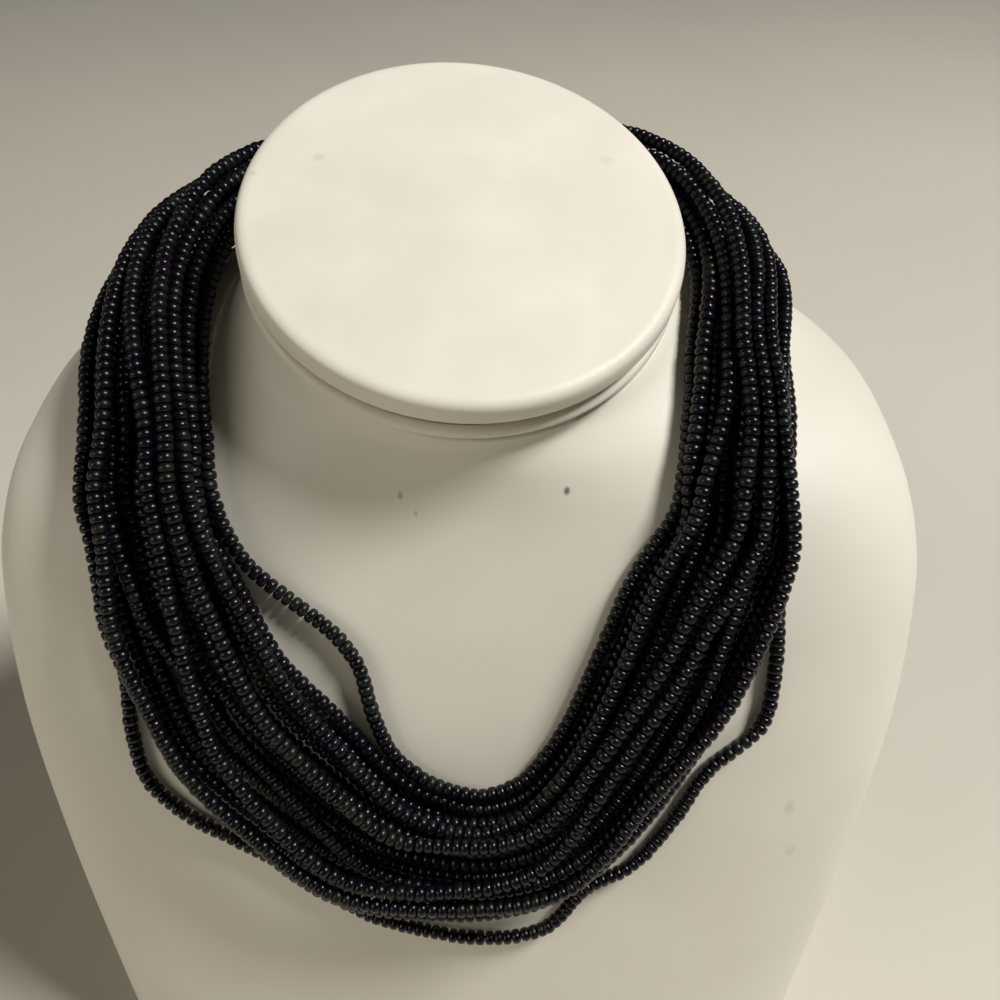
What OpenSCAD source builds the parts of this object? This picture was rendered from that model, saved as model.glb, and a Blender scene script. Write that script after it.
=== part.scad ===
// Statement necklace of many seed bead strands on a plain neck bust.
// Millimetres. Front is -Y, up is +Z, the base of the bust stands on z = 0.

/* [Strands] */
// Diameter of one strand of beads as a solid tube
strand_size = 3.6; // [3.0:0.1:3.7]
// Height of the lowest strand centre lines above the bust
first_height = 2.3; // [2.2:0.1:2.6]
// Height from one layer of strands to the next
layer_step = 4.18; // [4.1:0.02:4.6]
// How unevenly the strands share the free room in their layer
unevenness = 1.0; // [0:0.1:1.2]

/* [Bust cap] */
// Radius of the padded cap that closes the neck
cap_radius = 53; // [52:0.5:54]
// Radius of the cap's soft rounded rim
rim_radius = 4.4; // [3.6:0.1:4.6]
// Rise of the cap's crown above its rim
crown_rise = 1.6; // [0.5:0.1:3]
// Diameter of the welt under the cap
welt_size = 6; // [5:0.1:6.2]

/* [Clasp] */
// Thickness of the plain bar clasp behind the neck
clasp_thickness = 17; // [16:0.5:18]
// Room left between the clasp and the strand ends, in degrees round the neck
clasp_clearance = 1.4; // [1.2:0.1:2]

/* [Hidden] */
bust_color = [0.86, 0.83, 0.75];
bead_color = [0.03, 0.03, 0.04];
metal_color = [0.66, 0.66, 0.67];

// Bust sections, one row each.
// level, centre y, tilt, half width, front depth, back depth, squareness
BUST = [
    [0, -58, 0, 103, 38, 112, 0.80],
    [40, -48, 0, 110, 36, 104, 0.80],
    [85, -34, 0, 117, 38, 98, 0.76],
    [130, -18, 1, 123, 40, 92, 0.74],
    [165, -2, 3, 124, 42, 86, 0.70],
    [182, 8, 4, 121, 44.5, 80, 0.70],
    [194, 16, 6, 115, 48.2, 73, 0.74],
    [203, 20, 8, 104, 49.8, 67, 0.80],
    [211, 22, 10, 89, 50.6, 60, 0.88],
    [218, 22, 13, 76, 50.5, 55, 0.94],
    [226, 21.5, 17, 63, 50.4, 51, 1],
    [232, 21, 20.5, 56.5, 50.5, 51, 1],
    [237.6, 20, 23, 52, 52, 52, 1]
];
col_centre = 1;
col_tilt = 2;
col_width = 3;
col_front = 4;
col_back = 5;
col_square = 6;
neck_level = 237.6;
bust_sides = 48;
bust_levels = concat([for (z = [0:15:150]) z], [for (z = [160:10:180]) z], [for (z = [185:5:235]) z],
    [neck_level]);

// The cap sits on the neck, tilted forward and leaning a little to the right. The neck's top edge
// takes up the lean above one level.
cap_tilt = 23;
cap_lean = 5.5;
lean_level = 233;
cap_centre = [1, 15.6, 248];
cap_seat = 11.3;
seat_gap = 0.3;
welt_drop = 7.9;
welt_offset = 1.6;
welt_radius = cap_radius - rim_radius + welt_offset;
welt_facets = 24;
cap_facets = 96;
rim_steps = 6;

// Stations of the necklace band, from one end of the clasp round the front to the other.
// station, angle and level at the inner edge, angle and level at the outer edge, lift, flatness
BAND = [
    [0, 104, 229, 101, 210, 0, 1],
    [1, 118, 231, 112, 211, 0.6, 1],
    [2, 138, 231, 129, 211, 1, 1],
    [3, 160, 232, 149, 211.5, 3.5, 1],
    [4, 183, 229.5, 173, 211.5, 3.5, 1],
    [5, 208, 223.5, 197, 209, 2, 0.8],
    [6, 229, 214, 216, 203, 0, 0.4],
    [7, 246, 200, 231, 187, 0, 0],
    [8, 254, 187, 234, 170, 0, 0],
    [9, 258, 174, 236, 151, 0, 0],
    [10, 261, 161, 239, 130, 0, 0],
    [11, 265, 149, 249, 112, 0, 0],
    [12, 269, 135, 259, 97, 0, 0],
    [13, 271, 131, 271, 90, 0, 0],
    [14, 274, 136, 281.5, 99, 0, 0],
    [15, 277, 152, 290, 122, 0, 0],
    [16, 280, 175, 297, 152, 0, 0],
    [17, 286, 194, 302, 177, 0, 0],
    [18, 303, 211, 312, 201, 0, 0.2],
    [19, 326, 222.5, 332, 213, 0, 0.4],
    [20, 347, 230, 353, 217, 0, 0.8],
    [21, 370, 233, 378, 215, 1, 1],
    [22, 395, 233, 404, 213, 1, 1],
    [23, 420, 231, 428, 211, 0.6, 1],
    [24, 436, 229, 439, 210, 0, 1]
];
col_in_angle = 1;
col_in_level = 2;
col_out_angle = 3;
col_out_level = 4;
col_lift = 5;
col_flat = 6;
last_station = 24;

// Layers of strands, lowest first.
// first strand, lanes, closest spacing, unevenness, gathering of the free room at mid layer
LAYERS = [
    [1, 7, 4.1, 0.4, 1.0],
    [8, 7, 4.15, 0.6, 0],
    [15, 4, 4.2, 0.9, 0],
    [19, 3, 4.25, 0.9, 0]
];
col_first = 0;
col_lanes = 1;
col_spacing = 2;
col_uneven = 3;
col_gather = 4;

// How each layer drifts across the band on its way round, in mm, and its share of the width.
// station, drift of layers 1 to 4, share of layers 1 to 4
DRIFT = [
    [0, 0, 0, 0, -2, 1, 1, 1, 0.8],
    [2, 0, 0, 0, -6, 1, 1, 0.95, 0.6],
    [4, 0, 0, 0, -6, 1, 0.95, 0.9, 0.55],
    [6, 0, 0, 0, -3, 1, 0.95, 0.94, 0.65],
    [8, 0, 0, 0, 0, 1, 0.75, 0.85, 0.65],
    [10, 0, -1, -4, -2, 1, 0.62, 0.75, 0.55],
    [12, 0, -1, 0, 0, 1, 0.62, 0.75, 0.55],
    [13, 0, -1, -1, -4, 1, 0.62, 0.7, 0.55],
    [14, 0, -1, -3, -3, 1, 0.62, 0.7, 0.55],
    [15, 0, -1, -2, -3, 1, 0.62, 0.7, 0.5],
    [16, 0, 0, -1, 2, 1, 0.62, 0.75, 0.55],
    [18, 0, 0, 0, 3, 1, 0.9, 0.9, 0.55],
    [20, 0, 0, 0, -4, 1, 0.95, 0.95, 0.55],
    [22, 0, 0, 0, -6, 1, 0.95, 1, 0.6],
    [24, 0, 0, 0, -2, 1, 1, 1, 0.8]
];
col_drift = 1;
col_share = 5;

// Strands that hang loose of the band for a stretch.
// strand, start, peak and end station, sideways mm at the peak
LOOSE = [
    [1, 7.6, 9.9, 11.7, -12.5],
    [2, 9.2, 10.4, 11.8, -2],
    [3, 9.4, 10.8, 12.0, -2.5],
    [7, 8.4, 10.1, 11.6, 7],
    [7, 11.6, 13.3, 14.2, 10.5],
    [6, 12.2, 13.2, 14.0, 3],
    [7, 14.2, 14.8, 15.2, 9],
    [7, 15.2, 15.9, 17.4, 11],
    [6, 15.4, 16.4, 17.4, 5],
    [5, 15.4, 16.4, 17.4, 3]
];
col_strand = 0;
col_start = 1;
col_peak = 2;
col_end = 3;
col_side = 4;
golden_angle = 137.5;
wander_angle = 40;
bead_span = 4;
layer_turns = 7;

// Smooth curve through the rows of a table: value of one column at x.
function slope(rows, k, c) =
    let (a = max(k - 1, 0), b = min(k + 1, len(rows) - 1))
    (rows[b][c] - rows[a][c]) / (rows[b][0] - rows[a][0]);
function row_at(rows, x, i = 0) =
    i >= len(rows) - 2 || x <= rows[i + 1][0] ? i : row_at(rows, x, i + 1);
function smooth_at(rows, x, c) =
    let (i = row_at(rows, x), h = rows[i + 1][0] - rows[i][0])
    let (t = (x - rows[i][0]) / h, s = t * t, q = t * t * t)
    (2 * q - 3 * s + 1) * rows[i][c] + (q - 2 * s + t) * h * slope(rows, i, c)
    + (3 * s - 2 * q) * rows[i + 1][c] + (q - s) * h * slope(rows, i + 1, c);

// Vector helpers.
function unit(v) = v / norm(v);
function between(a, b, t) = a + (b - a) * t;
function signed_pow(v, e) = sign(v) * pow(abs(v), e);
function ease(t) = t <= 0 ? 0 : t >= 1 ? 1 : t * t * (3 - 2 * t);

// A point on the bust at an angle (270 is the front) and a level, from one section of the table.
function section(level) = [for (c = [0:col_square]) c == 0 ? level : smooth_at(BUST, level, c)];
function skin_in(s, angle) =
    let (across = s[col_width] * signed_pow(cos(angle), s[col_square]))
    let (depth = sin(angle) < 0 ? s[col_front] : s[col_back])
    let (along = depth * signed_pow(sin(angle), s[col_square]))
    [across, s[col_centre] + along * cos(s[col_tilt]), s[0] + along * sin(s[col_tilt])];
function skin(angle, level) = skin_in(section(min(max(level, 2), neck_level - 1)), angle);
probe = 0.4;
function skin_normal(angle, level) =
    let (v = min(level, neck_level - 1 - probe))
    unit(cross(skin(angle + probe, v) - skin(angle - probe, v),
        skin(angle, v + probe) - skin(angle, v - probe)));

// A station across the band: distances from the inner edge, skin points, stacking directions,
// width, lift and mean direction.
at_run = 0;
at_skin = 1;
at_way = 2;
at_width = 3;
at_lift = 4;
at_mean = 5;
samples = 18;
sample_step = 0.1;
inner_sample = 4;
middle_sample = 9;
outer_sample = 14;
function fraction(i) = (i - inner_sample) * sample_step;
function running(p, i = 0, sum = 0) =
    i >= len(p) - 1 ? [sum] : concat([sum], running(p, i + 1, sum + norm(p[i + 1] - p[i])));
function across_line(a, b, c, d, lift, flat) =
    let (angles = [for (i = [0:samples]) between(a, c, fraction(i))])
    let (levels = [for (i = [0:samples]) between(b, d, fraction(i))])
    let (p = [for (i = [0:samples]) skin(angles[i], levels[i])])
    let (n = [for (i = [0:samples]) skin_normal(angles[i], levels[i])])
    let (mean = unit(n[inner_sample] + n[middle_sample] + n[outer_sample]))
    let (run = running(p))
    let (u = [for (i = [0:samples]) run[i] - run[inner_sample]])
    [u, p, [for (v = n) unit(v * (1 - flat) + mean * flat)], u[outer_sample], lift, mean];
function station(s) =
    across_line(smooth_at(BAND, s, col_in_angle), smooth_at(BAND, s, col_in_level),
        smooth_at(BAND, s, col_out_angle), smooth_at(BAND, s, col_out_level),
        smooth_at(BAND, s, col_lift), smooth_at(BAND, s, col_flat));
function find(u, x, i = 0) = i >= len(u) - 2 || x <= u[i + 1] ? i : find(u, x, i + 1);
function over_skin(st, x, h) =
    let (run = st[at_run], i = find(run, x), t = (x - run[i]) / (run[i + 1] - run[i]))
    let (p = between(st[at_skin][i], st[at_skin][i + 1], t), n = between(st[at_way][i], st[at_way][i + 1], t))
    let (f = min(max(x / st[at_width], 0), 1), bridge = 0.5 + 2 * f * (1 - f))
    p + n * h + st[at_mean] * st[at_lift] * bridge;

// Where strand k of a layer runs across the band at station s.
function layer_of(k) = len([for (row = LAYERS) if (row[col_first] <= k) row]) - 1;
function gap_weight(layer, q, s) =
    let (turn = golden_angle * (q + layer_turns * layer) + wander_angle * s)
    let (from_middle = q - (LAYERS[layer][col_lanes] - 2) / 2)
    exp(-LAYERS[layer][col_gather] * pow(from_middle, 2))
        * (1 + unevenness * LAYERS[layer][col_uneven] * sin(turn));
function total(v, n, i = 0) = i >= n ? 0 : v[i] + total(v, n, i + 1);
function lane_at(layer, lane, s, width) =
    let (lanes = LAYERS[layer][col_lanes], pitch = LAYERS[layer][col_spacing])
    let (share = smooth_at(DRIFT, s, col_share + layer), drift = smooth_at(DRIFT, s, col_drift + layer))
    let (room = max(width * share - bead_span - (lanes - 1) * pitch, 0))
    let (w = [for (q = [0:lanes - 2]) gap_weight(layer, q, s)])
    let (place = total(w, lane) / total(w, lanes - 1) - 0.5)
    width / 2 + drift + (lane - (lanes - 1) / 2) * pitch + room * place;
function swing(s, r) =
    r[col_side] * (s < r[col_peak] ? ease((s - r[col_start]) / (r[col_peak] - r[col_start]))
        : ease((r[col_end] - s) / (r[col_end] - r[col_peak])));
function loose_at(k, s, i = 0) =
    i >= len(LOOSE) ? 0 : (LOOSE[i][col_strand] == k ? swing(s, LOOSE[i]) : 0) + loose_at(k, s, i + 1);
half_steps = 2 * last_station;
stations = [for (i = [0:half_steps]) station(i / 2)];
function route(k) =
    let (layer = layer_of(k), lane = k - LAYERS[layer][col_first])
    [for (i = [0:half_steps])
        over_skin(stations[i], lane_at(layer, lane, i / 2, stations[i][at_width]) + loose_at(k, i / 2),
            first_height + layer * layer_step)];

// A closed tube of rings swept along points.
tube_sides = 8;
function tube_ring(p, i, r) =
    let (a = max(i - 1, 0), b = min(i + 1, len(p) - 1))
    let (t = unit(p[b] - p[a]))
    let (side = unit(cross(t, stations[i][at_mean])))
    let (up = cross(side, t))
    [for (k = [0:tube_sides - 1]) let (a = 360 * k / tube_sides) p[i] + r * (cos(a) * side + sin(a) * up)];
function grid_faces(rings, n) =
    concat([[for (k = [0:n - 1]) k]], [[for (k = [n - 1:-1:0]) (rings - 1) * n + k]],
        [for (i = [0:rings - 2]) for (k = [0:n - 1]) let (j = (k + 1) % n)
            [i * n + k, (i + 1) * n + k, (i + 1) * n + j, i * n + j]]);
module strand_tube(k) {
    p = route(k);
    points = [for (i = [0:half_steps]) each tube_ring(p, i, strand_size / 2)];
    color(bead_color) polyhedron(points, grid_faces(half_steps + 1, tube_sides), convexity = 10);
}

// The clasp is one plain bar whose section follows the band's ends.
clasp_steps = 8;
clasp_margin = 1.5;
clasp_floor = 0.6;
clasp_round = 3;
function clasp_outline(w) =
    let (a = -clasp_margin, b = w + clasp_margin, c = clasp_floor, d = clasp_floor + clasp_thickness)
    let (m = clasp_round)
    [[a + m, c], [b - m, c], [b, c + m], [b, d - m], [b - m, d], [a + m, d], [a, d - m], [a, c + m]];
function clasp_section(t) =
    let (a = BAND[last_station], b = BAND[0], room = clasp_clearance)
    let (inner = between(a[col_in_angle] - 360 + room, b[col_in_angle] - room, t))
    let (outer = between(a[col_out_angle] - 360 + room, b[col_out_angle] - room, t))
    let (st = across_line(inner, b[col_in_level], outer, b[col_out_level], 0, 1))
    [for (q = clasp_outline(st[at_width])) over_skin(st, q[0], q[1])];

function leaned(p, level) =
    let (lean = cap_lean * ease((level - lean_level) / (neck_level - lean_level)))
    [p[0], p[1], p[2] - p[0] * tan(lean)];
module bust() {
    sections = [for (z = bust_levels) section(z)];
    points = [for (s = sections) each
        [for (k = [0:bust_sides - 1]) leaned(skin_in(s, -360 * k / bust_sides), s[0])]];
    color(bust_color) polyhedron(points, grid_faces(len(bust_levels), bust_sides), convexity = 6);
}
module neck_cap() {
    ring = cap_radius - rim_radius;
    core = welt_radius - welt_size / 2 - seat_gap;
    rim = [for (i = [0:rim_steps * 2]) let (a = -90 + 180 * i / (rim_steps * 2))
        [ring + rim_radius * cos(a), rim_radius * sin(a)]];
    crown = [for (f = [0.8, 0.6, 0.4, 0.2, 0]) [ring * f, rim_radius + crown_rise * (1 - f * f)]];
    foot = seat_gap - cap_seat;
    color(bust_color) translate(cap_centre) rotate([cap_tilt, cap_lean, 0])
        rotate_extrude($fn = cap_facets)
            polygon(concat([[0, foot], [core, foot], [core, -rim_radius]], rim, crown));
}
module cap_welt() {
    color(bust_color) translate(cap_centre) rotate([cap_tilt, cap_lean, 0]) translate([0, 0, -welt_drop])
        rotate_extrude($fn = cap_facets)
            translate([welt_radius, 0])
                circle(d = welt_size, $fn = welt_facets);
}
module clasp() {
    points = [for (i = [0:clasp_steps]) each clasp_section(i / clasp_steps)];
    color(metal_color) polyhedron(points, grid_faces(clasp_steps + 1, 8), convexity = 6);
}
module strand_01() {
    strand_tube(1);
}
module strand_02() {
    strand_tube(2);
}
module strand_03() {
    strand_tube(3);
}
module strand_04() {
    strand_tube(4);
}
module strand_05() {
    strand_tube(5);
}
module strand_06() {
    strand_tube(6);
}
module strand_07() {
    strand_tube(7);
}
module strand_08() {
    strand_tube(8);
}
module strand_09() {
    strand_tube(9);
}
module strand_10() {
    strand_tube(10);
}
module strand_11() {
    strand_tube(11);
}
module strand_12() {
    strand_tube(12);
}
module strand_13() {
    strand_tube(13);
}
module strand_14() {
    strand_tube(14);
}
module strand_15() {
    strand_tube(15);
}
module strand_16() {
    strand_tube(16);
}
module strand_17() {
    strand_tube(17);
}
module strand_18() {
    strand_tube(18);
}
module strand_19() {
    strand_tube(19);
}
module strand_20() {
    strand_tube(20);
}
module strand_21() {
    strand_tube(21);
}

bust();
neck_cap();
cap_welt();
clasp();
strand_01();
strand_02();
strand_03();
strand_04();
strand_05();
strand_06();
strand_07();
strand_08();
strand_09();
strand_10();
strand_11();
strand_12();
strand_13();
strand_14();
strand_15();
strand_16();
strand_17();
strand_18();
strand_19();
strand_20();
strand_21();
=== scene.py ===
"""Statement necklace: strands of black seed beads laid round a plain neck bust."""
import math
import random

import bpy
import numpy as np
from mathutils import Matrix, Vector


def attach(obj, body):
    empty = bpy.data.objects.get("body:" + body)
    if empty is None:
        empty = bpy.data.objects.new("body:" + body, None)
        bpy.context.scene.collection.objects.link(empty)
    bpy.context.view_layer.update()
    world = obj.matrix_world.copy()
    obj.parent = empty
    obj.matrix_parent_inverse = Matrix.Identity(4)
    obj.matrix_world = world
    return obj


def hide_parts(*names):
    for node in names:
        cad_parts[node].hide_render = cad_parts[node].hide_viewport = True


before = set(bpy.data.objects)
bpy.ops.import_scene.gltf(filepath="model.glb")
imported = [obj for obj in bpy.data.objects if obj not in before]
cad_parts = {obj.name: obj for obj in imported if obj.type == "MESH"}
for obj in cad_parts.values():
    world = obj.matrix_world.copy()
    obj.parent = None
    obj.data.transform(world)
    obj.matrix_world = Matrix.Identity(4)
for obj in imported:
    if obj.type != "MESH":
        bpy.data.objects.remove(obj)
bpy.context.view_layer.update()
MM = 0.001

# Bust sections, the same as the CAD model's, in millimetres and degrees.
# level, centre y, tilt, half width, front depth, back depth, squareness
BUST = [
    [0, -58, 0, 103, 38, 112, 0.80],
    [40, -48, 0, 110, 36, 104, 0.80],
    [85, -34, 0, 117, 38, 98, 0.76],
    [130, -18, 1, 123, 40, 92, 0.74],
    [165, -2, 3, 124, 42, 86, 0.70],
    [182, 8, 4, 121, 44.5, 80, 0.70],
    [194, 16, 6, 115, 48.2, 73, 0.74],
    [203, 20, 8, 104, 49.8, 67, 0.80],
    [211, 22, 10, 89, 50.6, 60, 0.88],
    [218, 22, 13, 76, 50.5, 55, 0.94],
    [226, 21.5, 17, 63, 50.4, 51, 1],
    [232, 21, 20.5, 56.5, 50.5, 51, 1],
    [237.6, 20, 23, 52, 52, 52, 1],
]
NECK_LEVEL = 237.6

# Stations of the necklace band.
# station, angle and level at the inner edge, angle and level at the outer edge, lift, flatness
BAND = [
    [0, 104, 229, 101, 210, 0, 1],
    [1, 118, 231, 112, 211, 0.6, 1],
    [2, 138, 231, 129, 211, 1, 1],
    [3, 160, 232, 149, 211.5, 3.5, 1],
    [4, 183, 229.5, 173, 211.5, 3.5, 1],
    [5, 208, 223.5, 197, 209, 2, 0.8],
    [6, 229, 214, 216, 203, 0, 0.4],
    [7, 246, 200, 231, 187, 0, 0],
    [8, 254, 187, 234, 170, 0, 0],
    [9, 258, 174, 236, 151, 0, 0],
    [10, 261, 161, 239, 130, 0, 0],
    [11, 265, 149, 249, 112, 0, 0],
    [12, 269, 135, 259, 97, 0, 0],
    [13, 271, 131, 271, 90, 0, 0],
    [14, 274, 136, 281.5, 99, 0, 0],
    [15, 277, 152, 290, 122, 0, 0],
    [16, 280, 175, 297, 152, 0, 0],
    [17, 286, 194, 302, 177, 0, 0],
    [18, 303, 211, 312, 201, 0, 0.2],
    [19, 326, 222.5, 332, 213, 0, 0.4],
    [20, 347, 230, 353, 217, 0, 0.8],
    [21, 370, 233, 378, 215, 1, 1],
    [22, 395, 233, 404, 213, 1, 1],
    [23, 420, 231, 428, 211, 0.6, 1],
    [24, 436, 229, 439, 210, 0, 1],
]
LAST_STATION = 24
# first strand, lanes, closest spacing, unevenness, gathering of the free room at mid layer
LAYERS = [
    [1, 7, 4.1, 0.4, 1.0],
    [8, 7, 4.15, 0.6, 0],
    [15, 4, 4.2, 0.9, 0],
    [19, 3, 4.25, 0.9, 0],
]
# station, drift of layers 1 to 4, share of layers 1 to 4
DRIFT = [
    [0, 0, 0, 0, -2, 1, 1, 1, 0.8],
    [2, 0, 0, 0, -6, 1, 1, 0.95, 0.6],
    [4, 0, 0, 0, -6, 1, 0.95, 0.9, 0.55],
    [6, 0, 0, 0, -3, 1, 0.95, 0.94, 0.65],
    [8, 0, 0, 0, 0, 1, 0.75, 0.85, 0.65],
    [10, 0, -1, -4, -2, 1, 0.62, 0.75, 0.55],
    [12, 0, -1, 0, 0, 1, 0.62, 0.75, 0.55],
    [13, 0, -1, -1, -4, 1, 0.62, 0.7, 0.55],
    [14, 0, -1, -3, -3, 1, 0.62, 0.7, 0.55],
    [15, 0, -1, -2, -3, 1, 0.62, 0.7, 0.5],
    [16, 0, 0, -1, 2, 1, 0.62, 0.75, 0.55],
    [18, 0, 0, 0, 3, 1, 0.9, 0.9, 0.55],
    [20, 0, 0, 0, -4, 1, 0.95, 0.95, 0.55],
    [22, 0, 0, 0, -6, 1, 0.95, 1, 0.6],
    [24, 0, 0, 0, -2, 1, 1, 1, 0.8],
]
# Columns of the table above that hold the lowest layer.
DRIFT_COLUMN = 1
SHARE_COLUMN = 5
# strand, start, peak and end station, sideways mm at the peak
LOOSE = [
    [1, 7.6, 9.9, 11.7, -12.5],
    [2, 9.2, 10.4, 11.8, -2],
    [3, 9.4, 10.8, 12.0, -2.5],
    [7, 8.4, 10.1, 11.6, 7],
    [7, 11.6, 13.3, 14.2, 10.5],
    [6, 12.2, 13.2, 14.0, 3],
    [7, 14.2, 14.8, 15.2, 9],
    [7, 15.2, 15.9, 17.4, 11],
    [6, 15.4, 16.4, 17.4, 5],
    [5, 15.4, 16.4, 17.4, 3],
]
STRANDS = 21
# Height of the lowest layer's threads over the skin, and from one layer to the next.
FIRST_HEIGHT = 2.3
LAYER_STEP = 4.18
# The gaps between lanes vary as a sine, turned by these angles from lane to lane and by station.
GOLDEN_ANGLE = 137.5
WANDER_ANGLE = 40
LAYER_TURNS = 7
BEAD_SPAN = 4.0

# Cap and clasp, the same as the CAD model's
CAP_CENTRE = Vector((1, 15.6, 248)) * MM
CAP_TILT = math.radians(23)
CAP_LEAN = math.radians(5.5)
LEAN_LEVEL = 233
CAP_RADIUS = 53
RIM_RADIUS = 4.4
CROWN_RISE = 1.6
CAP_SEAT = 11.3
CLASP_THICKNESS = 17
CLASP_CLEARANCE = 1.4


def slope(rows, k, c):
    """Slope of column c at row k, from the rows beside it."""
    a, b = max(k - 1, 0), min(k + 1, len(rows) - 1)
    return (rows[b][c] - rows[a][c]) / (rows[b][0] - rows[a][0])


def smooth_at(rows, x, c):
    """Smooth curve through the rows of a table: the value of column c at x."""
    i = 0
    while i < len(rows) - 2 and x > rows[i + 1][0]:
        i += 1
    h = rows[i + 1][0] - rows[i][0]
    t = (x - rows[i][0]) / h
    s, q = t * t, t * t * t
    return ((2 * q - 3 * s + 1) * rows[i][c] + (q - 2 * s + t) * h * slope(rows, i, c)
            + (3 * s - 2 * q) * rows[i + 1][c] + (q - s) * h * slope(rows, i + 1, c))


def ease(t):
    """0 to 1, slow at both ends, and level past them."""
    t = min(max(t, 0), 1)
    return t * t * (3 - 2 * t)


def unit(v):
    return v / np.linalg.norm(v)


def section(level):
    """The bust's section at a level, as a row of its table."""
    return [level] + [smooth_at(BUST, level, c) for c in range(1, 7)]


def skin_in(s, angle):
    """A point of the bust at an angle (270 is the front), from its section."""
    level, centre, tilt, width, front, back, square = s
    c, d = math.cos(math.radians(angle)), math.sin(math.radians(angle))
    across = width * math.copysign(abs(c) ** square, c)
    along = (front if d < 0 else back) * math.copysign(abs(d) ** square, d)
    t = math.radians(tilt)
    return np.array([across, centre + along * math.cos(t), level + along * math.sin(t)])


# Strands lie on the skin between these levels.
SKIN_LOW = 2
SKIN_HIGH = NECK_LEVEL - 1


def skin(angle, level):
    """A point of the skin at an angle and level."""
    return skin_in(section(min(max(level, SKIN_LOW), SKIN_HIGH)), angle)


def skin_normal(angle, level, probe=0.4):
    """The outward direction of the skin, from points a small probe away."""
    level = min(level, SKIN_HIGH - probe)
    round_way = skin(angle + probe, level) - skin(angle - probe, level)
    up_way = skin(angle, level + probe) - skin(angle, level - probe)
    return unit(np.cross(round_way, up_way))


# Places across the band: 0 is its inner edge and 1 its outer edge, with some room past both.
FRACTIONS = [0.1 * (i - 4) for i in range(19)]
INNER, MIDDLE, OUTER = 4, 9, 14


def across_line(a, b, c, d, lift, flat):
    """A line across the band on the skin, with the ways in which strands stack over it."""
    at = [(a + (c - a) * f, b + (d - b) * f) for f in FRACTIONS]
    points = np.array([skin(*q) for q in at])
    normals = np.array([skin_normal(*q) for q in at])
    mean = unit(normals[INNER] + normals[MIDDLE] + normals[OUTER])
    ways = np.array([unit(n * (1 - flat) + mean * flat) for n in normals])
    run = np.concatenate([[0], np.cumsum(np.linalg.norm(np.diff(points, axis=0), axis=1))])
    run = run - run[INNER]
    return {"run": run, "skin": points, "way": ways, "width": run[OUTER], "lift": lift, "mean": mean}


def station(s):
    """The band's line on the skin at station s."""
    return across_line(*[smooth_at(BAND, s, c) for c in range(1, 7)])


def over_skin(st, x, h):
    """The point x across a station's line and h over it, lifted most at mid band."""
    p = np.array([np.interp(x, st["run"], st["skin"][:, k]) for k in range(3)])
    n = np.array([np.interp(x, st["run"], st["way"][:, k]) for k in range(3)])
    f = min(max(x / st["width"], 0), 1)
    return p + n * h + st["mean"] * st["lift"] * (0.5 + 2 * f * (1 - f))


def lane_at(layer, lane, s, width):
    """How far across the band a lane runs at station s."""
    lanes, pitch, uneven, gather = LAYERS[layer][1:]
    drift = smooth_at(DRIFT, s, DRIFT_COLUMN + layer)
    share = smooth_at(DRIFT, s, SHARE_COLUMN + layer)
    room = max(width * share - BEAD_SPAN - (lanes - 1) * pitch, 0)
    gaps = []
    for q in range(lanes - 1):
        turn = GOLDEN_ANGLE * (q + LAYER_TURNS * layer) + WANDER_ANGLE * s
        from_middle = q - (lanes - 2) / 2
        gaps.append(math.exp(-gather * from_middle ** 2) * (1 + uneven * math.sin(math.radians(turn))))
    place = sum(gaps[:lane]) / sum(gaps) - 0.5
    return width / 2 + drift + (lane - (lanes - 1) / 2) * pitch + room * place


def loose_at(k, s):
    """How far strand k hangs out of its lane at station s."""
    side = 0
    for strand, start, peak, end, reach in LOOSE:
        if strand == k:
            part = (s - start) / (peak - start) if s < peak else (end - s) / (end - peak)
            side += reach * ease(part)
    return side


STATIONS = [station(i / 2) for i in range(2 * LAST_STATION + 1)]


def route(k):
    """The points of strand k's thread, in millimetres, from one clasp end to the other."""
    layer = sum(1 for row in LAYERS if row[0] <= k) - 1
    lane = k - LAYERS[layer][0]
    height = FIRST_HEIGHT + layer * LAYER_STEP
    return [over_skin(st, lane_at(layer, lane, i / 2, st["width"]) + loose_at(k, i / 2), height)
            for i, st in enumerate(STATIONS)]


def smooth_path(points, parts=16):
    """A Catmull-Rom curve through the points, as a dense list, with its running length."""
    out = []
    for i in range(len(points) - 1):
        a, b = points[max(i - 1, 0)], points[i]
        c, d = points[i + 1], points[min(i + 2, len(points) - 1)]
        for k in range(parts):
            t = k / parts
            out.append(0.5 * (2 * b + (c - a) * t + (2 * a - 5 * b + 4 * c - d) * t * t
                              + (3 * b - a - 3 * c + d) * t ** 3))
    out.append(points[-1])
    out = np.array(out)
    run = np.concatenate([[0], np.cumsum(np.linalg.norm(np.diff(out, axis=0), axis=1))])
    return out, run


def new_object(name, verts, faces, smooth=True):
    mesh = bpy.data.meshes.new(name)
    mesh.from_pydata([tuple(v) for v in verts], [], faces)
    mesh.update()
    if smooth:
        mesh.polygons.foreach_set("use_smooth", [True] * len(mesh.polygons))
    obj = bpy.data.objects.new(name, mesh)
    bpy.context.scene.collection.objects.link(obj)
    return obj


def grid_faces(rings, sides):
    """Faces of a closed tube of rings, with flat ends."""
    faces = [tuple(range(sides))[::-1], tuple(range((rings - 1) * sides, rings * sides))]
    for i in range(rings - 1):
        for k in range(sides):
            j = (k + 1) % sides
            faces.append((i * sides + k, i * sides + j, (i + 1) * sides + j, (i + 1) * sides + k))
    return faces


# Beads
BEAD_SIDES = 12
BEAD_RINGS = [-0.96, -0.72, 0, 0.72, 0.96]
BEAD_BLUNTNESS = 3.4
BEAD_WIDTH = 3.95
BEAD_LENGTH = 2.4
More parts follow.
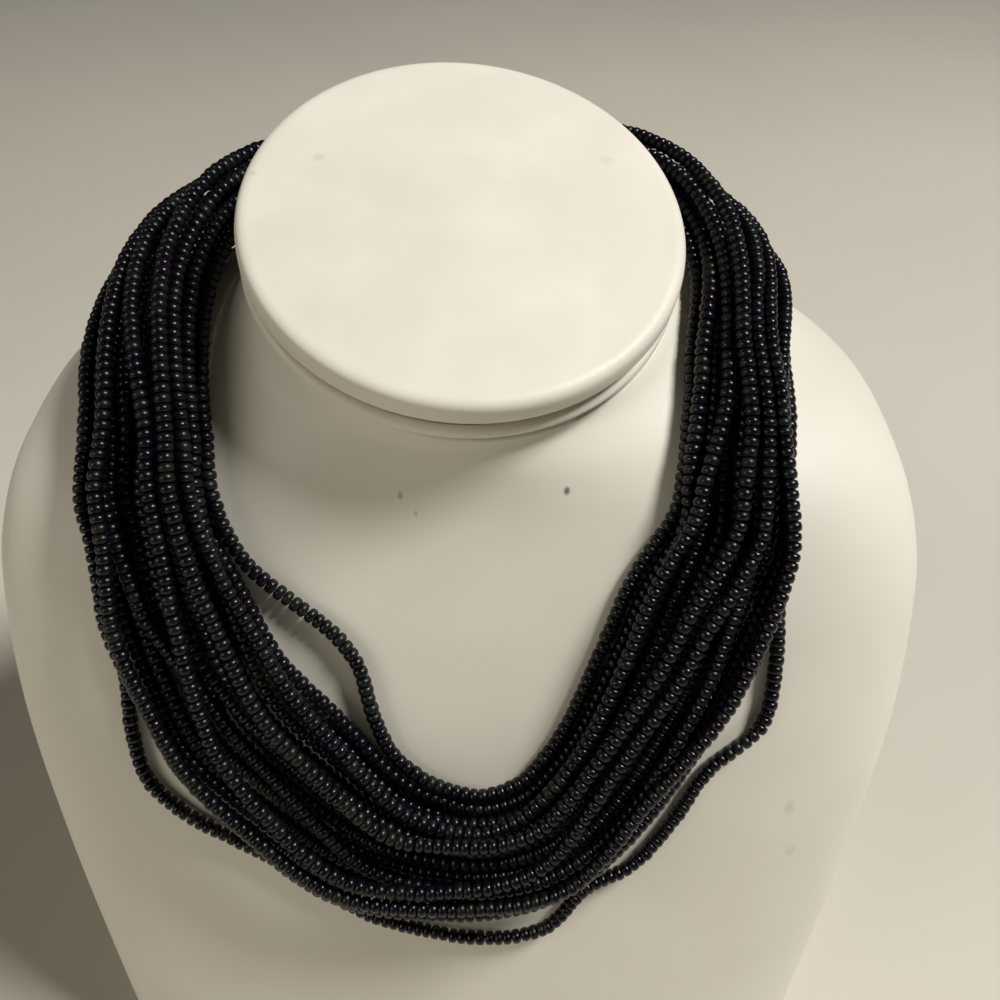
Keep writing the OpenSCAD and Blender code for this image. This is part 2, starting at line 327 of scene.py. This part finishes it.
# How beads differ: least and greatest share of the length and width, spread of tilt and of place.
LENGTH_SHARES = (0.9, 1.1)
WIDTH_SHARES = (0.95, 1.03)
TILT_SPREAD = 0.10
PLACE_SPREAD = 0.05
# Distance from the thread's start to the first bead
FIRST_BEAD = 0.3
THREAD_RADIUS = 0.3
THREAD_SIDES = 5
# The thread takes one of this many points of the dense path, and runs this far into the clasp.
THREAD_EVERY = 8
THREAD_OVERHANG = 2.5
# A fixed direction off every thread's own, from which the sides of beads and threads are worked out
SIDE_REFERENCE = [0.31, 0.17, 0.94]


def bead_shape():
    """A unit bead, radius 1 and half length 1 along X: rounded disc, with its two poles last."""
    verts = []
    for x in BEAD_RINGS:
        r = (1 - abs(x) ** BEAD_BLUNTNESS) ** (1 / BEAD_BLUNTNESS)
        for k in range(BEAD_SIDES):
            a = 2 * math.pi * k / BEAD_SIDES
            verts.append((x, r * math.cos(a), r * math.sin(a)))
    verts += [(-1, 0, 0), (1, 0, 0)]
    faces = grid_faces(len(BEAD_RINGS), BEAD_SIDES)[2:]
    low_pole = len(verts) - 2
    last_ring = (len(BEAD_RINGS) - 1) * BEAD_SIDES
    for k in range(BEAD_SIDES):
        j = (k + 1) % BEAD_SIDES
        faces.append((low_pole, j, k))
        faces.append((low_pole + 1, last_ring + k, last_ring + j))
    return np.array(verts), faces


def along(path, run, at):
    """The point of a path at a running length."""
    return np.array([np.interp(at, run, path[:, c]) for c in range(3)])


def bead_strand(k, rng):
    """One strand: its beads and its thread, joined as one mesh."""
    path, run = smooth_path(route(k))
    unit_verts, unit_faces = bead_shape()
    verts, faces = [], []
    at = FIRST_BEAD
    while True:
        length = BEAD_LENGTH * rng.uniform(*LENGTH_SHARES)
        if at + length > run[-1]:
            break
        mid = along(path, run, at + length / 2)
        step = along(path, run, at + length) - along(path, run, at)
        way = unit(step + np.array([rng.gauss(0, TILT_SPREAD) for _ in range(3)]))
        side = unit(np.cross(way, SIDE_REFERENCE))
        up = np.cross(side, way)
        spin = rng.uniform(0, 2 * math.pi)
        y = side * math.cos(spin) + up * math.sin(spin)
        z = up * math.cos(spin) - side * math.sin(spin)
        r = BEAD_WIDTH / 2 * rng.uniform(*WIDTH_SHARES)
        shift = np.array([rng.gauss(0, PLACE_SPREAD) for _ in range(3)])
        placed = mid + shift + (unit_verts[:, :1] * way * (length / 2)
                                + unit_verts[:, 1:2] * y * r + unit_verts[:, 2:3] * z * r)
        base = len(verts)
        verts.extend(placed * MM)
        faces.extend(tuple(i + base for i in f) for f in unit_faces)
        at += length
    first = path[0] - unit(path[1] - path[0]) * THREAD_OVERHANG
    last = path[-1] + unit(path[-1] - path[-2]) * THREAD_OVERHANG
    line = [first] + list(path[::THREAD_EVERY]) + [last]
    base = len(verts)
    for i, p in enumerate(line):
        way = unit(line[min(i + 1, len(line) - 1)] - line[max(i - 1, 0)])
        side = unit(np.cross(way, SIDE_REFERENCE))
        up = np.cross(side, way)
        for q in range(THREAD_SIDES):
            a = 2 * math.pi * q / THREAD_SIDES
            verts.append((p + THREAD_RADIUS * (math.cos(a) * side + math.sin(a) * up)) * MM)
    faces.extend(tuple(i + base for i in f) for f in grid_faces(len(line), THREAD_SIDES))
    name = "strand_%02d" % k
    obj = new_object(name + "_beads", verts, faces)
    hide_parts(name)
    return obj


# Bust
BUST_SIDES = 160
BUST_RING_STEP = 2.5
# Even rings end this far below the neck's top edge.
RINGS_END = 5.5
# Rounding of the neck's top edge: depth below the edge and share of the section's size.
NECK_EDGE = [[5.0, 1.0], [2.4, 0.996], [0.8, 0.99], [0, 0.975]]
# The neck's sides draw in a little under the welt: level and millimetres off the half width.
NECK_WAIST = [[0, 0], [216, 0], [225, 2.2], [231, 3.4], [237.6, 0.4]]
# The pad's rim has a squarer upper edge than the CAD model's and a rounder lower one. The welt that
# shows is a thinner cord inside the CAD welt's space, with a shallow groove above and below it.
RIM_START = -68
RIM_SQUARENESS = 0.62
RIM_UNDERCUT = 1.2
CORE_RADIUS = 49.9
CORD_RING = 51.5
CORD_RADIUS = 1.55
CORD_DROP = 7.4
CORD_SIDES = 24
CORD_STEPS = 160
# Small gap under the pad, and the radius that closes its lower side
SEAT_GAP = 0.3
PAD_END_RADIUS = 0.05
# The crown's rings run between these shares of the radius at which the rim starts.
CROWN_SHARES = (0.96, 0.001)
CROWN_RINGS = 24
RIM_STEPS = 24
CAP_SIDES = 144
# Clasp bar: rounded corners, what it stands past the strands at both edges, and its gap to the skin
CLASP_STEPS = 24
CLASP_CORNER = 3.0
CORNER_POINTS = 6
CLASP_MARGIN = 1.5
CLASP_GAP = 0.6
# Its ends draw in by CLASP_INSET, over one part in CLASP_END_PARTS of its length.
CLASP_INSET = 0.8
CLASP_END_PARTS = 12


def bust_body():
    """The bust's skin with its leaning and rounded neck edge, and a flat base."""
    rings = [[level, 1.0] for level in np.arange(0, NECK_LEVEL - RINGS_END, BUST_RING_STEP)]
    rings += [[NECK_LEVEL - depth, share] for depth, share in NECK_EDGE]
    verts = []
    for level, share in rings:
        level, centre, tilt, width, front, back, square = section(level)
        width -= max(smooth_at(NECK_WAIST, level, 1), 0)
        s = [level, centre, tilt, width * share, front * share, back * share, square]
        lean = math.tan(CAP_LEAN * ease((level - LEAN_LEVEL) / (NECK_LEVEL - LEAN_LEVEL)))
        for k in range(BUST_SIDES):
            p = skin_in(s, 360 * k / BUST_SIDES)
            verts.append((p - np.array([0, 0, p[0] * lean])) * MM)
    obj = new_object("bust_body", verts, grid_faces(len(rings), BUST_SIDES))
    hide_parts("bust")
    return obj


def on_cap(r, angle, h):
    """A point round the cap's axis, from millimetres to the row frame."""
    p = Vector((r * math.cos(angle), r * math.sin(angle), h)) * MM
    return CAP_CENTRE + Matrix.Rotation(CAP_LEAN, 3, "Y") @ Matrix.Rotation(CAP_TILT, 3, "X") @ p


def revolve(name, profile, sides):
    """An object, a closed solid of revolution round the cap's axis from (radius, height) pairs."""
    verts = [on_cap(r, 2 * math.pi * k / sides, h) for r, h in profile for k in range(sides)]
    return new_object(name, verts, grid_faces(len(profile), sides))


def cap_pad():
    """The padded cap: a straight core, a rolled rim and a low crown."""
    ring = CAP_RADIUS - RIM_RADIUS
    bottom = SEAT_GAP - CAP_SEAT
    profile = [(PAD_END_RADIUS, bottom), (CORE_RADIUS, bottom)]
    for i in range(RIM_STEPS + 1):
        a = math.radians(RIM_START + (90 - RIM_START) * i / RIM_STEPS)
        power = RIM_SQUARENESS if a > 0 else RIM_UNDERCUT
        across, up = abs(math.cos(a)) ** power, abs(math.sin(a)) ** RIM_SQUARENESS
        profile.append((ring + RIM_RADIUS * across, RIM_RADIUS * math.copysign(up, a)))
    for f in np.linspace(*CROWN_SHARES, CROWN_RINGS):
        profile.append((ring * f, RIM_RADIUS + CROWN_RISE * (1 - f * f)))
    obj = revolve("neck_cap_pad", profile, CAP_SIDES)
    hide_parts("neck_cap")
    return obj


def welt():
    """The covered cord, a closed ring under the pad."""
    verts, faces = [], []
    for i in range(CORD_STEPS):
        for k in range(CORD_SIDES):
            a = 2 * math.pi * k / CORD_SIDES
            verts.append(on_cap(CORD_RING + CORD_RADIUS * math.cos(a), 2 * math.pi * i / CORD_STEPS,
                                CORD_RADIUS * math.sin(a) - CORD_DROP))
    for i in range(CORD_STEPS):
        here, after = i * CORD_SIDES, (i + 1) % CORD_STEPS * CORD_SIDES
        for k in range(CORD_SIDES):
            j = (k + 1) % CORD_SIDES
            faces.append((here + k, after + k, after + j, here + j))
    obj = new_object("cap_welt_cord", verts, faces)
    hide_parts("cap_welt")
    return obj


def clasp_angle(last, first, t):
    """The angle t of the way along the clasp, between the last and first angles of a band edge."""
    start = last - 360
    return start + CLASP_CLEARANCE + (first - start - 2 * CLASP_CLEARANCE) * t


def clasp_bar():
    """The plain hidden bar behind the neck, with rounded edges."""
    last_inner, last_outer = BAND[-1][1], BAND[-1][3]
    inner, inner_level, outer, outer_level = BAND[0][1:5]
    verts = []
    for i in range(CLASP_STEPS + 1):
        t = i / CLASP_STEPS
        st = across_line(clasp_angle(last_inner, inner, t), inner_level,
                         clasp_angle(last_outer, outer, t), outer_level, 0, 1)
        inset = CLASP_INSET * (1 - ease(min(t, 1 - t) * CLASP_END_PARTS))
        low, high = -CLASP_MARGIN + inset, st["width"] + CLASP_MARGIN - inset
        floor, top = CLASP_GAP + inset, CLASP_GAP + CLASP_THICKNESS - inset
        for cx, cy, start in ((high, top, 0), (low, top, 90), (low, floor, 180), (high, floor, 270)):
            middle = math.radians(start + 45)
            x_in = cx - math.copysign(CLASP_CORNER, math.cos(middle))
            y_in = cy - math.copysign(CLASP_CORNER, math.sin(middle))
            for q in range(CORNER_POINTS):
                turn = math.radians(start + 90 * q / (CORNER_POINTS - 1))
                x = x_in + CLASP_CORNER * math.cos(turn)
                y = y_in + CLASP_CORNER * math.sin(turn)
                verts.append(over_skin(st, x, y) * MM)
    obj = new_object("clasp_bar", verts, grid_faces(CLASP_STEPS + 1, 4 * CORNER_POINTS))
    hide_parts("clasp")
    return obj


# Materials. Most values of a noise texture lie between NOISE_LOW and NOISE_HIGH.
NOISE_LOW = 0.3
NOISE_HIGH = 0.7
# Sockets of a colour mix node
MIX_FACTOR = 0
MIX_A = 6
MIX_B = 7
MIX_RESULT = 2
# A mark has its full strength inside this share of its radii.
MARK_CORE = 0.35


def material(name):
    mat = bpy.data.materials.new(name)
    mat.use_nodes = True
    nodes, links = mat.node_tree.nodes, mat.node_tree.links
    return mat, nodes, links, nodes["Principled BSDF"]


def noise(nodes, links, coords, scale, detail=3.0, rough=0.55):
    n = nodes.new("ShaderNodeTexNoise")
    n.inputs["Scale"].default_value = scale
    n.inputs["Detail"].default_value = detail
    n.inputs["Roughness"].default_value = rough
    links.new(coords, n.inputs["Vector"])
    return n.outputs["Fac"]


def spread(nodes, links, value, low, high, out_low, out_high):
    """A value's range from low to high, mapped to another range."""
    m = nodes.new("ShaderNodeMapRange")
    for key, v in (("From Min", low), ("From Max", high), ("To Min", out_low), ("To Max", out_high)):
        m.inputs[key].default_value = v
    links.new(value, m.inputs["Value"])
    return m.outputs["Result"]


def ramp(nodes, links, value, stops):
    """A colour ramp over a value, from (place, colour) stops."""
    r = nodes.new("ShaderNodeValToRGB")
    while len(r.color_ramp.elements) < len(stops):
        r.color_ramp.elements.new(0.5)
    for e, (place, colour) in zip(r.color_ramp.elements, stops):
        e.position = place
        e.color = (*colour, 1)
    links.new(value, r.inputs["Fac"])
    return r.outputs["Color"]


def bumps(nodes, links, bsdf, heights):
    """Chained bump nodes: (height, strength, distance) each."""
    last = None
    for value, strength, distance in heights:
        b = nodes.new("ShaderNodeBump")
        b.inputs["Strength"].default_value = strength
        b.inputs["Distance"].default_value = distance
        links.new(value, b.inputs["Height"])
        if last is not None:
            links.new(last, b.inputs["Normal"])
        last = b.outputs["Normal"]
    links.new(last, bsdf.inputs["Normal"])


def object_coords(nodes):
    return nodes.new("ShaderNodeTexCoord").outputs["Object"]


def mark(nodes, links, coords, colour_in, centre, radii, colour, strength):
    """A small soft mark of another colour round a point of the surface."""
    sub = nodes.new("ShaderNodeVectorMath")
    sub.operation = "SUBTRACT"
    links.new(coords, sub.inputs[0])
    sub.inputs[1].default_value = centre
    div = nodes.new("ShaderNodeVectorMath")
    div.operation = "DIVIDE"
    links.new(sub.outputs[0], div.inputs[0])
    div.inputs[1].default_value = radii
    size = nodes.new("ShaderNodeVectorMath")
    size.operation = "LENGTH"
    links.new(div.outputs[0], size.inputs[0])
    amount = spread(nodes, links, size.outputs["Value"], MARK_CORE, 1.0, strength, 0.0)
    mix = nodes.new("ShaderNodeMix")
    mix.data_type = "RGBA"
    mix.clamp_factor = True
    links.new(amount, mix.inputs[MIX_FACTOR])
    links.new(colour_in, mix.inputs[MIX_A])
    mix.inputs[MIX_B].default_value = (*colour, 1)
    return mix.outputs[MIX_RESULT]


COVER_LIGHT = (0.80, 0.765, 0.665)
COVER_DARK = (0.745, 0.705, 0.605)
SMUDGE = (0.40, 0.39, 0.34)
SPECK = (0.12, 0.11, 0.09)
COVER_ROUGHNESS = (0.42, 0.56)
# Small marks of use: place and radii in metres, colour, strength.
BUST_MARKS = [
    [(0.0262, -0.0264, 0.2025), (0.0010, 0.0014, 0.0014), SPECK, 0.9],
    [(-0.0127, -0.0278, 0.2013), (0.0008, 0.0014, 0.0014), SPECK, 0.5],
    [(-0.0092, -0.0290, 0.1969), (0.0007, 0.0012, 0.0012), SPECK, 0.3],
    [(0.0895, -0.0545, 0.1171), (0.0022, 0.0030, 0.0030), SMUDGE, 0.3],
    [(0.0923, -0.0581, 0.1017), (0.0018, 0.0024, 0.0024), SMUDGE, 0.25],
]
CAP_MARKS = [
    [(-0.0335, 0.0250, 0.2608), (0.0020, 0.0016, 0.0022), SMUDGE, 0.25],
    [(0.0353, 0.0337, 0.2578), (0.0026, 0.0020, 0.0022), SMUDGE, 0.2],
    [(-0.0482, 0.0194, 0.2580), (0.0012, 0.0012, 0.0024), SMUDGE, 0.4],
]


def cover_material(name, marks, mottle):
    """Pale satin cover: broad mottling at the given scale, fine weave, and small marks of use."""
    mat, nodes, links, bsdf = material(name)
    coords = object_coords(nodes)
    broad = noise(nodes, links, coords, scale=mottle, detail=2.0)
    fine = noise(nodes, links, coords, scale=900)
    grain = noise(nodes, links, coords, scale=2600, detail=2.0)
    colour = ramp(nodes, links, broad, [(0.35, COVER_DARK), (0.65, COVER_LIGHT)])
    for centre, radii, tone, strength in marks:
        colour = mark(nodes, links, coords, colour, centre, radii, tone, strength)
    links.new(colour, bsdf.inputs["Base Color"])
    gloss = spread(nodes, links, fine, NOISE_LOW, NOISE_HIGH, *COVER_ROUGHNESS)
    links.new(gloss, bsdf.inputs["Roughness"])
    bsdf.inputs["Sheen Weight"].default_value = 0.08
    bsdf.inputs["Specular IOR Level"].default_value = 0.45
    bumps(nodes, links, bsdf, [(broad, 0.12, 0.0012), (fine, 0.05, 0.0002), (grain, 0.05, 0.0001)])
    return mat


BEAD_ROUGHNESS = (0.22, 0.38)
METAL_ROUGHNESS = (0.25, 0.42)
FLOOR_ROUGHNESS = 0.9


def bead_material():
    """Black glass whose tint and gloss change a little from bead to bead."""
    mat, nodes, links, bsdf = material("black_glass")
    coords = object_coords(nodes)
    patch = noise(nodes, links, coords, scale=130, detail=1.0)
    small = noise(nodes, links, coords, scale=700, detail=2.0)
    colour = ramp(nodes, links, patch, [
        (0.30, (0.006, 0.003, 0.008)), (0.45, (0.002, 0.002, 0.004)),
        (0.55, (0.002, 0.003, 0.005)), (0.68, (0.005, 0.007, 0.004))])
    links.new(colour, bsdf.inputs["Base Color"])
    gloss = spread(nodes, links, patch, NOISE_LOW, NOISE_HIGH, *BEAD_ROUGHNESS)
    links.new(gloss, bsdf.inputs["Roughness"])
    bsdf.inputs["IOR"].default_value = 1.52
    bsdf.inputs["Specular IOR Level"].default_value = 0.30
    bumps(nodes, links, bsdf, [(small, 0.10, 0.0003)])
    return mat


def metal_material():
    """Brushed metal, streaked along X."""
    mat, nodes, links, bsdf = material("clasp_metal")
    coords = object_coords(nodes)
    squash = nodes.new("ShaderNodeMapping")
    squash.inputs["Scale"].default_value = (0.04, 1, 1)
    links.new(coords, squash.inputs["Vector"])
    streak = noise(nodes, links, squash.outputs["Vector"], scale=2400)
    wear = noise(nodes, links, coords, scale=60)
    colour = ramp(nodes, links, wear, [(0.3, (0.56, 0.56, 0.57)), (0.7, (0.66, 0.66, 0.66))])
    links.new(colour, bsdf.inputs["Base Color"])
    bsdf.inputs["Metallic"].default_value = 1.0
    gloss = spread(nodes, links, streak, NOISE_LOW, NOISE_HIGH, *METAL_ROUGHNESS)
    links.new(gloss, bsdf.inputs["Roughness"])
    bumps(nodes, links, bsdf, [(streak, 0.15, 0.0001)])
    return mat


def floor_material():
    mat, nodes, links, bsdf = material("plain_floor")
    coords = object_coords(nodes)
    soft = noise(nodes, links, coords, scale=3, detail=2.0)
    colour = ramp(nodes, links, soft, [(0.3, (0.62, 0.585, 0.50)), (0.7, (0.66, 0.62, 0.53))])
    links.new(colour, bsdf.inputs["Base Color"])
    bsdf.inputs["Roughness"].default_value = FLOOR_ROUGHNESS
    return mat


# Camera at the photograph's viewing angle: place in row millimetres, angle below level, roll,
# focal length as a share of the picture's width, sensor width in mm and nearest distance in metres
CAMERA_PLACE = np.array([10.6, -203.8, 348.2])
CAMERA_PITCH = math.radians(40)
CAMERA_ROLL = math.radians(1)
FOCAL_SHARE = 0.981
SENSOR = 36
NEAREST = 0.01


def add_camera():
    forward = Vector((0, math.cos(CAMERA_PITCH), -math.sin(CAMERA_PITCH)))
    right = Vector((1, 0, 0))
    up = right.cross(forward)
    turned_right = right * math.cos(CAMERA_ROLL) + up * math.sin(CAMERA_ROLL)
    turned_up = up * math.cos(CAMERA_ROLL) - right * math.sin(CAMERA_ROLL)
    data = bpy.data.cameras.new("camera")
    data.sensor_width = SENSOR
    data.lens = SENSOR * FOCAL_SHARE
    data.clip_start = NEAREST
    cam = bpy.data.objects.new("camera", data)
    bpy.context.scene.collection.objects.link(cam)
    turn = Matrix((turned_right, turned_up, -forward)).transposed().to_4x4()
    cam.matrix_world = Matrix.Translation(Vector(CAMERA_PLACE * MM)) @ turn
    bpy.context.scene.camera = cam


def add_area(name, place, target, size, energy, colour):
    data = bpy.data.lights.new(name, "AREA")
    data.shape = "DISK"
    data.size = size
    data.energy = energy
    data.color = colour
    light = bpy.data.objects.new(name, data)
    light.location = place
    light.rotation_euler = (Vector(target) - Vector(place)).to_track_quat("-Z", "Y").to_euler()
    bpy.context.scene.collection.objects.link(light)


# Lights and floor, in metres
WORLD_COLOUR = (1.0, 0.95, 0.86, 1)
WORLD_STRENGTH = 0.03
FLOOR_HALF = 4.0
LIGHT_TARGET = (0, 0, 0.17)
# name, place, diameter, watts, colour
LIGHTS = [
    ["key", (1.19, -0.16, 1.95), 0.55, 50, (1.0, 0.985, 0.96)],
    ["left_fill", (-1.8, -1.1, 1.25), 1.4, 14, (1.0, 0.94, 0.82)],
]


def add_lights():
    world = bpy.data.worlds.new("soft_room")
    world.use_nodes = True
    background = world.node_tree.nodes["Background"]
    background.inputs["Color"].default_value = WORLD_COLOUR
    background.inputs["Strength"].default_value = WORLD_STRENGTH
    bpy.context.scene.world = world
    for name, place, size, power, colour in LIGHTS:
        add_area(name, place, LIGHT_TARGET, size, power, colour)


def add_floor():
    h = FLOOR_HALF
    corners = [(-h, -h, 0), (h, -h, 0), (h, h, 0), (-h, h, 0)]
    floor = new_object("floor", corners, [(0, 1, 2, 3)], smooth=False)
    floor.data.materials.append(floor_material())


# Start of the random draws, and the scale of the covers' mottling: bust, cap and welt
SEED = 11
BUST_MOTTLE = 14
CAP_MOTTLE = 38
WELT_MOTTLE = 20


def finish_piece(obj, mat):
    """Give a piece its material and its body."""
    obj.data.materials.append(mat)
    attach(obj, "root")


def main():
    scene = bpy.context.scene
    scene.view_settings.view_transform = "Standard"
    add_camera()
    add_lights()
    add_floor()
    finish_piece(bust_body(), cover_material("satin_cover", BUST_MARKS, BUST_MOTTLE))
    finish_piece(cap_pad(), cover_material("cap_cover", CAP_MARKS, CAP_MOTTLE))
    finish_piece(welt(), cover_material("welt_cover", [], WELT_MOTTLE))
    finish_piece(clasp_bar(), metal_material())
    glass = bead_material()
    rng = random.Random(SEED)
    for k in range(1, STRANDS + 1):
        finish_piece(bead_strand(k, rng), glass)


main()
